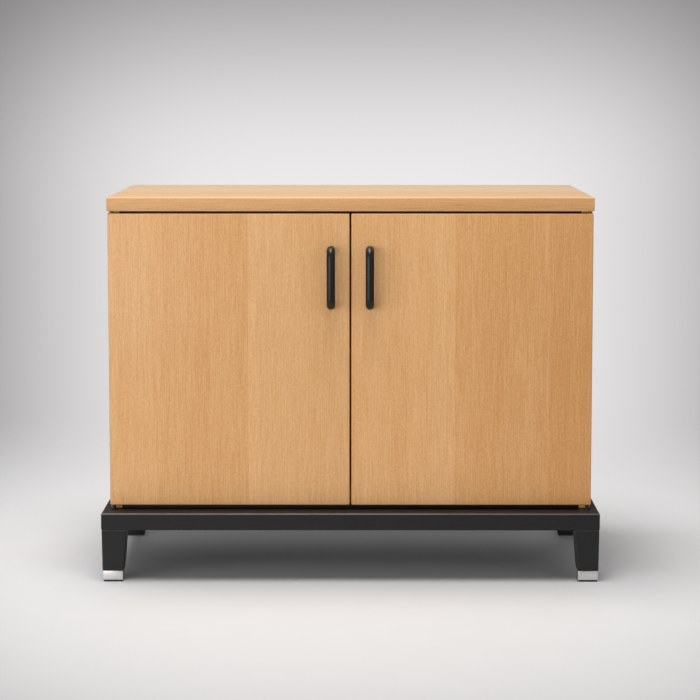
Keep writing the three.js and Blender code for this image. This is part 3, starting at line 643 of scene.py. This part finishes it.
# The top face is painted lighter than its edges: painted light from above, and the darker lipping.
TOP_FACE_PAINTED_LIGHT = 0.2
SLOT_CLEARANCE = 0.0003
SLOT_PAST_EDGE = 0.002
PIVOT_FROM_END = 0.0054
UPPER_PIVOT_BORE = 0.003
low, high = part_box("top_panel")
top = block("beech_top", low, high, TOP_ARRIS, steps=4)
clear = Vector((SLOT_CLEARANCE,) * 3)
slots = []
for side in ("left", "right"):
    socket_low, socket_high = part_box(f"hinge_socket_upper_{side}")
    slot_low = socket_low - clear
    slot_low.z = low.z - SLOT_PAST_EDGE
    slots.append(block("slot", slot_low, socket_high + clear, arris=0))
    outer_x = socket_low.x + PIVOT_FROM_END if side == "left" else socket_high.x - PIVOT_FROM_END
    place = (outer_x, (socket_low.y + socket_high.y) / 2, low.z)
    pin_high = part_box(f"hinge_leaf_upper_{side}")[1]
    slots.append(bore(UPPER_PIVOT_BORE, pin_high.z - low.z + SLOT_CLEARANCE, place, (0, 0, 1)))
cut_away(top, slots)
polished = beech_finish(
    "beech_top", "X", "Y", TOP_LEAVES, TOP_GRAIN,
    polish=TOP_POLISH, deeper=TOP_DEEPER, painted_light_up=TOP_FACE_PAINTED_LIGHT)
fit_out(top, polished, "cabinet", "beech", "top_panel")


# Shelf
# A loose beech board, set back from the doors, that lies on four turned steel supports.
# The supports are zinc-plated and pushed into the drilled rows of the sides.
def repaint(node, finish):
    """Gives a solid that is shown as it is a better finish."""
    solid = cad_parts[node]
    solid.data.materials.clear()
    solid.data.materials.append(finish)


low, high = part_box("shelf")
fit_out(block("beech_shelf", low, high, BOARD_ARRIS), level_beech, "cabinet", "beech", "shelf")
for side in ("left", "right"):
    for row in ("front", "rear"):
        repaint(f"shelf_pin_{row}_{side}", zinc)


# Doors
# Veneered boards with upright grain, lipped and rounded over on all edges, hung in front of the sides.
# Slots in their ends take the hinge leaves, and a bore at the bottom takes the lower pivot.
DOOR_ARRIS = 0.002
LOWER_PIVOT_BORE = 0.0031
LEFT_LEAVES = ((-0.342, -0.03), (-0.18, 0.05))
RIGHT_LEAVES = ((0.184, -0.045), (0.349, -0.025))
LEFT_GRAIN = 0.0
RIGHT_GRAIN = 17.0
low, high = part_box("door_left")
door = block("beech_door_left", low, high, DOOR_ARRIS, steps=4)
cutters = []
for end in ("upper", "lower"):
    leaf_low, leaf_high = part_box(f"hinge_leaf_{end}_left")
    slot_low, slot_high = leaf_low - clear, leaf_high + clear
    slot_low.x = low.x - SLOT_PAST_EDGE
    if end == "upper":
        slot_high.z = high.z + SLOT_PAST_EDGE
    else:
        slot_low.z = low.z - SLOT_PAST_EDGE
    cutters.append(block("slot", slot_low, slot_high, arris=0))
pin_low, pin_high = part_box("hinge_pin_lower_left")
middle = (pin_low + pin_high) / 2
place = (middle.x, middle.y, low.z)
cutters.append(bore(LOWER_PIVOT_BORE, pin_high.z - low.z + SLOT_CLEARANCE, place, (0, 0, 1)))
cut_away(door, cutters)
mirrored = copy_to(door, "beech_door_right", (0, 0, 0), flip=(-1, 1))
hung = (("left", door, LEFT_LEAVES, LEFT_GRAIN), ("right", mirrored, RIGHT_LEAVES, RIGHT_GRAIN))
for side, piece, leaves, offset in hung:
    finish = beech_finish(f"beech_door_{side}", "Z", "X", leaves, offset)
    fit_out(piece, finish, f"{side}_door", "beech", f"door_{side}")


# Handles
# Round steel bar bent to a bow and coated black.
# Each is held by two zinc-plated pan-head screws that come through the door from behind.
BAR_BEND = 0.013
BAR_SIDES = 32
BEND_STEPS = 14
BAR_SMOOTH_ANGLE = math.radians(40)
BAR_JOIN = 1e-6
BAR_DARK = (0.004, 0.004, 0.0044, 1)
BAR_LIGHT = (0.0065, 0.0065, 0.007, 1)
HANDLE_SCREW_HEAD = 0.0024
HANDLE_SCREW_SHANK = 0.002


def handle_finish(name):
    """Smooth black coat with a faint orange peel."""
    finish, tree, shader, place = new_finish(name, IOR=1.42)
    peel = grain(tree, place, detail=1, scale=1400)
    haze = grain(tree, place, detail=3, scale=60)
    colour = blend_colours(tree, haze, BAR_DARK, BAR_LIGHT)
    feed(tree, shader, Base_Color=colour, Roughness=0.32 + 0.14 * haze)
    feed(tree, shader, Normal=bumped(tree, peel, strength=0.06, distance=0.0002))
    return finish


black_bar = handle_finish("black_bar")
low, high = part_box("handle_left")
radius = (high.x - low.x) / 2
x = low.x + radius
foot_z = low.z + radius
head_z = high.z - radius
reach = high.y - low.y - radius
elbow_y = high.y - reach + BAR_BEND
bpy.ops.object.select_all(action="DESELECT")
bpy.ops.mesh.primitive_circle_add(
    vertices=BAR_SIDES, radius=radius, fill_type="NGON",
    location=(x, high.y, foot_z), rotation=(math.pi / 2, 0, 0))
bar = bpy.context.object
bar.name = bar.data.name = "bow_handle_left"
bpy.ops.object.transform_apply(location=True, rotation=True, scale=True)
bpy.ops.object.mode_set(mode="EDIT")
bpy.ops.mesh.select_all(action="SELECT")
out = {"value": (0, BAR_BEND - reach, 0)}
bpy.ops.mesh.extrude_region_move(TRANSFORM_OT_translate=out)
elbow = (x, elbow_y, foot_z + BAR_BEND)
bpy.ops.mesh.spin(steps=BEND_STEPS, angle=math.pi / 2, center=elbow, axis=(1, 0, 0))
up = {"value": (0, 0, head_z - foot_z - 2 * BAR_BEND)}
bpy.ops.mesh.extrude_region_move(TRANSFORM_OT_translate=up)
elbow = (x, elbow_y, head_z - BAR_BEND)
bpy.ops.mesh.spin(steps=BEND_STEPS, angle=math.pi / 2, center=elbow, axis=(1, 0, 0))
home = {"value": (0, reach - BAR_BEND, 0)}
bpy.ops.mesh.extrude_region_move(TRANSFORM_OT_translate=home)
bpy.ops.mesh.select_all(action="SELECT")
bpy.ops.mesh.remove_doubles(threshold=BAR_JOIN)
bpy.ops.mesh.normals_make_consistent(inside=False)
bpy.ops.object.mode_set(mode="OBJECT")
bpy.ops.object.shade_smooth_by_angle(angle=BAR_SMOOTH_ANGLE)
second = copy_to(bar, "bow_handle_right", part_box("handle_right")[0] - low)
for side, piece in (("left", bar), ("right", second)):
    fit_out(piece, black_bar, f"{side}_door", "black_handle", f"handle_{side}")

low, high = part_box("handle_screw_upper_left")
head_radius = (high.x - low.x) / 2
pattern = cross_screw(head_radius, HANDLE_SCREW_HEAD, HANDLE_SCREW_SHANK, high.y - low.y, sunk=False)
for side in ("left", "right"):
    for end in ("upper", "lower"):
        low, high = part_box(f"handle_screw_{end}_{side}")
        place = ((low.x + high.x) / 2, high.y, (low.z + high.z) / 2)
        screw = copy_to(pattern, f"pan_screw_{end}_{side}", place, FACING_BACK)
        fit_out(screw, zinc, f"{side}_door", "zinc", f"handle_screw_{end}_{side}")
bpy.data.objects.remove(pattern)


# Hinges
# Pivot hinges of browned brass: leaves screwed into the ends of the doors, sockets screwed into the top.
# The lower pins, lacquered black, stand in the base, and a brown nylon washer on each carries the door.
BRASS_LIGHT = (0.3, 0.175, 0.075, 1)
BRASS_DARK = (0.19, 0.105, 0.042, 1)
BRASS_ROUGHNESS = 0.36
NYLON_LIGHT = (0.36, 0.185, 0.075, 1)
NYLON_DARK = (0.27, 0.135, 0.05, 1)
LACQUER_LIGHT = (0.008, 0.0075, 0.007, 1)
LACQUER_DARK = (0.004, 0.0038, 0.0036, 1)


def smooth_finish(name, light, dark):
    """A smooth skin of nylon or of lacquer."""
    finish, tree, shader, place = new_finish(name, IOR=1.5)
    cloud = grain(tree, place, detail=3, scale=300)
    feed(tree, shader, Base_Color=blend_colours(tree, cloud, dark, light))
    feed(tree, shader, Roughness=0.4 + 0.15 * cloud)
    return finish


brass = turned_finish("browned_brass", BRASS_LIGHT, BRASS_DARK, BRASS_ROUGHNESS)
nylon = smooth_finish("brown_nylon", NYLON_LIGHT, NYLON_DARK)
black_lacquer = smooth_finish("black_lacquer", LACQUER_LIGHT, LACQUER_DARK)
for side in ("left", "right"):
    for node in ("socket_upper", "leaf_upper", "leaf_lower"):
        repaint(f"hinge_{node}_{side}", brass)
    repaint(f"hinge_pin_lower_{side}", black_lacquer)
    for node in ("top", "upper", "lower"):
        repaint(f"hinge_screw_{node}_{side}", zinc)
    repaint(f"hinge_washer_{side}", nylon)


# Catch, strikes and bumpers
# A double magnetic catch in a dark moulded case under the front rail, with steel pole plates in its face.
# The doors have zinc-plated strikes that meet the plates, and rubber bumpers that soften their shutting.
CASE_ARRIS = 0.001
POLE_ASIDE = 0.0115
POLE_WIDTH = 0.015
POLE_HEIGHT = 0.0016
POLE_DEPTH = 0.006
POLE_APART = 0.006
POLE_SINK = 0.0002
POLE_ARRIS = 0.0002
low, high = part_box("magnetic_catch")
case = block("catch_case", low, high, CASE_ARRIS)
half = Vector((POLE_WIDTH, POLE_DEPTH - POLE_SINK, POLE_HEIGHT)) / 2
past_face = Vector((0, POLE_DEPTH, 0))
plates = {}
for side, hand in (("left", -1), ("right", 1)):
    for pole, rise in (("upper", POLE_APART / 2), ("lower", -POLE_APART / 2)):
        place = Vector((hand * POLE_ASIDE, low.y + POLE_SINK + half.y, (low.z + high.z) / 2 + rise))
        plates[f"pole_plate_{pole}_{side}"] = place
slots = []
for place in plates.values():
    slots.append(block("slot", place - half - clear - past_face, place + half + clear, arris=0))
cut_away(case, slots)
fit_out(case, dark_moulding, "cabinet", "dark_plastic", "magnetic_catch")
pattern = block("pole_plate", -half, half, POLE_ARRIS, steps=2)
for name, place in plates.items():
    fit_out(copy_to(pattern, name, place), zinc, "cabinet", "zinc")
bpy.data.objects.remove(pattern)
for side in ("left", "right"):
    repaint(f"catch_strike_{side}", zinc)
    for end in ("upper", "lower"):
        repaint(f"bumper_{end}_{side}", rubber)


# Studio
# A plain pale floor that fades into a soft grey backdrop. Lamps stand to the left and right of the front,
# one hangs high overhead, a long one stands low on the left, and a weak one behind lights the back.
FLOOR_RADIUS = 7.0
FLOOR_SIDES = 128
FLOOR_FADE = (0.35, 2.0)
FLOOR_DARK = (0.588, 0.587, 0.588, 1)
FLOOR_LIGHT = (0.612, 0.611, 0.612, 1)
FLOOR_ROUGHNESS = 0.62
FLOOR_SHEEN = 0.25
bpy.ops.object.select_all(action="DESELECT")
bpy.ops.mesh.primitive_circle_add(vertices=FLOOR_SIDES, radius=FLOOR_RADIUS, fill_type="NGON")
floor = bpy.context.object
floor.name = "studio_floor"
constants = {"Roughness": FLOOR_ROUGHNESS, "Specular_IOR_Level": FLOOR_SHEEN}
finish, tree, shader, place = new_finish("pale_floor", **constants)
mottle = grain(tree, place, detail=3, scale=14)
feed(tree, shader, Base_Color=blend_colours(tree, mottle, FLOOR_DARK, FLOOR_LIGHT))
distance = Tone.make(tree, "ShaderNodeVectorMath", {"operation": "LENGTH"}, {0: place}, output="Value")
fade = distance.between(*FLOOR_FADE)
air = Tone.make(tree, "ShaderNodeBsdfTransparent")
surface = Tone.make(tree, "ShaderNodeMixShader", None, {0: fade, 1: Tone(shader.outputs[0]), 2: air})
tree.links.new(surface.socket, tree.nodes["Material Output"].inputs["Surface"])
floor.data.materials.append(finish)

BACKDROP = (0.84, 0.822, 0.82, 1)
BACKDROP_LOWEST = 0.12
GLOW_LEVEL = -0.054
GLOW_SPREAD = (0.18, 0.098, 0.26)
GLOW_ASIDE = 0.003
GLOW_AHEAD = (0.0, 0.6)
ROOM_LIGHT = (0.9, 0.9, 0.92, 1)
ROOM_STRENGTH = 0.2
world = bpy.data.worlds.new("studio")
bpy.context.scene.world = world
world.use_nodes = True
tree = world.node_tree
background = tree.nodes["Background"]
ray = Tone.make(tree, "ShaderNodeTexCoord", output="Generated")
ray_x, ray_y, ray_z = (Tone.make(tree, "ShaderNodeSeparateXYZ", None, {0: ray}, output=i) for i in range(3))
sideways = (ray_x - GLOW_ASIDE).maths("ABSOLUTE") * (1 / GLOW_SPREAD[0])
above = (ray_z - GLOW_LEVEL).maths("MAXIMUM", 0) * (1 / GLOW_SPREAD[1])
below = (GLOW_LEVEL - ray_z).maths("MAXIMUM", 0) * (1 / GLOW_SPREAD[2])
fall = sideways.maths("POWER", 4) + above * above + below.maths("POWER", 4)
glow = (fall * -1).maths("EXPONENT") * ray_y.between(*GLOW_AHEAD)
seen = Tone.make(tree, "ShaderNodeLightPath", output="Is Camera Ray")
reflected = Tone.make(tree, "ShaderNodeLightPath", output="Is Glossy Ray")
shown = (seen + reflected).maths("MINIMUM", 1)
tree.links.new(blend_colours(tree, shown, ROOM_LIGHT, BACKDROP).socket, background.inputs["Color"])
backdrop = BACKDROP_LOWEST + (1 - BACKDROP_LOWEST) * glow
strength = ROOM_STRENGTH * (1 - shown) + backdrop * shown
tree.links.new(strength.socket, background.inputs["Strength"])


def lamp(name, place, aim, size, power, colour=(1, 1, 1)):
    """An area lamp at a place, aimed at a point, with its width and height and its power in watts."""
    place, aim = Vector(place), Vector(aim)
    turn = (aim - place).to_track_quat("-Z", "Y").to_euler()
    bpy.ops.object.light_add(type="AREA", location=place, rotation=turn)
    made = bpy.context.object
    made.name = name
    made.data.shape = "RECTANGLE"
    made.data.size, made.data.size_y = size
    made.data.energy = power
    made.data.color = colour
    made.visible_camera = False
    return made


lamp("left_lamp", (-1.8, -2.4, 0.9), (0, -0.2, 0.25), (2.4, 1.6), 13.5, (1, 0.99, 0.97))
lamp("right_lamp", (2.0, -2.4, 1.2), (0, -0.2, 0.25), (2.6, 1.8), 13.5, (1, 0.99, 0.98))
lamp("top_lamp", (-0.36, -0.28, 3.9), (0, -0.1, 0), (2.9, 1.8), 189)
lamp("low_lamp", (-2.2, -3.1, 0.55), (0.2, -0.2, 0.15), (3.8, 1.0), 43)
back_lamp = lamp("back_lamp", (0.3, 2.4, 1.5), (0, 0.1, 0.1), (2.6, 1.0), 15)
back_lamp.visible_glossy = False
